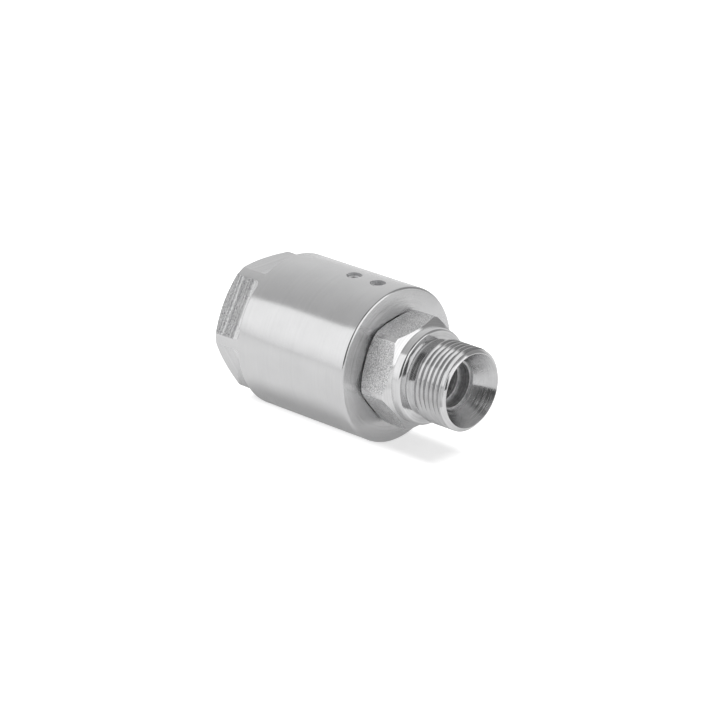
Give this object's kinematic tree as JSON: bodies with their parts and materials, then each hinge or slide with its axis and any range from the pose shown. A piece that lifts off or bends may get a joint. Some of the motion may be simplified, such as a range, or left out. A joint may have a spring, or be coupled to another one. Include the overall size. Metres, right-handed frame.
{
  "type": "hydraulic rotary union",
  "caption": "In-line hydraulic rotary union: a round steel housing with a female pipe port carries a stem with a hexagon and a male coned thread that turns freely on ball races.",
  "frame": {"origin": "centre of the female port's mouth, on the common axis, at the port's end face", "axes": "+X along the axis towards the male end of the stem, +Z towards the two filling screws, right-handed"},
  "size_m": [0.0897, 0.05, 0.05],
  "materials": {
    "housing_steel": "turned and zinc plated",
    "stem_steel": "turned and zinc plated",
    "hardened_steel": "ground and polished",
    "screw_steel": "zinc plated",
    "bronze_ptfe": "bronze filled PTFE",
    "ptfe": "plain PTFE",
    "nitrile": "moulded nitrile",
    "polyurethane": "moulded polyurethane",
    "acetal": "turned acetal"
  },
  "bodies": {
    "housing": {"dust_wiper": "polyurethane", "energiser_ring": "nitrile", "front_backup_ring": "ptfe", "front_fill_screw": "screw_steel", "front_race_plug": "hardened_steel", "guide_ring": "bronze_ptfe", "housing": "housing_steel", "pressure_slide_ring": "bronze_ptfe", "rear_backup_ring": "ptfe", "rear_fill_screw": "screw_steel", "rear_race_plug": "hardened_steel", "second_seal_ring": "nitrile", "thrust_washer": "acetal"},
    "stem": {"stem": "stem_steel"},
    "rear_balls": {"rear_ball_01": "hardened_steel", "rear_ball_02": "hardened_steel", "rear_ball_03": "hardened_steel", "rear_ball_04": "hardened_steel", "rear_ball_05": "hardened_steel", "rear_ball_06": "hardened_steel", "rear_ball_07": "hardened_steel", "rear_ball_08": "hardened_steel", "rear_ball_09": "hardened_steel", "rear_ball_10": "hardened_steel", "rear_ball_11": "hardened_steel", "rear_ball_12": "hardened_steel", "rear_ball_13": "hardened_steel", "rear_ball_14": "hardened_steel", "rear_ball_15": "hardened_steel", "rear_ball_16": "hardened_steel", "rear_ball_17": "hardened_steel", "rear_ball_18": "hardened_steel", "rear_ball_19": "hardened_steel", "rear_ball_20": "hardened_steel", "rear_ball_21": "hardened_steel"},
    "front_balls": {"front_ball_01": "hardened_steel", "front_ball_02": "hardened_steel", "front_ball_03": "hardened_steel", "front_ball_04": "hardened_steel", "front_ball_05": "hardened_steel", "front_ball_06": "hardened_steel", "front_ball_07": "hardened_steel", "front_ball_08": "hardened_steel", "front_ball_09": "hardened_steel", "front_ball_10": "hardened_steel", "front_ball_11": "hardened_steel", "front_ball_12": "hardened_steel", "front_ball_13": "hardened_steel", "front_ball_14": "hardened_steel", "front_ball_15": "hardened_steel", "front_ball_16": "hardened_steel", "front_ball_17": "hardened_steel", "front_ball_18": "hardened_steel", "front_ball_19": "hardened_steel", "front_ball_20": "hardened_steel", "front_ball_21": "hardened_steel"}
  },
  "joints": [
    {"name": "stem_spin", "type": "hinge", "parent": "housing", "child": "stem", "pos_m": [0, 0, 0], "axis": [1, 0, 0], "continuous": true},
    {"name": "rear_balls_orbit", "type": "hinge", "parent": "housing", "child": "rear_balls", "pos_m": [0, 0, 0], "axis": [1, 0, 0], "continuous": true},
    {"name": "front_balls_orbit", "type": "hinge", "parent": "housing", "child": "front_balls", "pos_m": [0, 0, 0], "axis": [1, 0, 0], "continuous": true}
  ],
  "couplings": [
    {"joint": "rear_balls_orbit", "follows": "stem_spin", "ratio": 0.4497},
    {"joint": "front_balls_orbit", "follows": "stem_spin", "ratio": 0.4497}
  ]
}
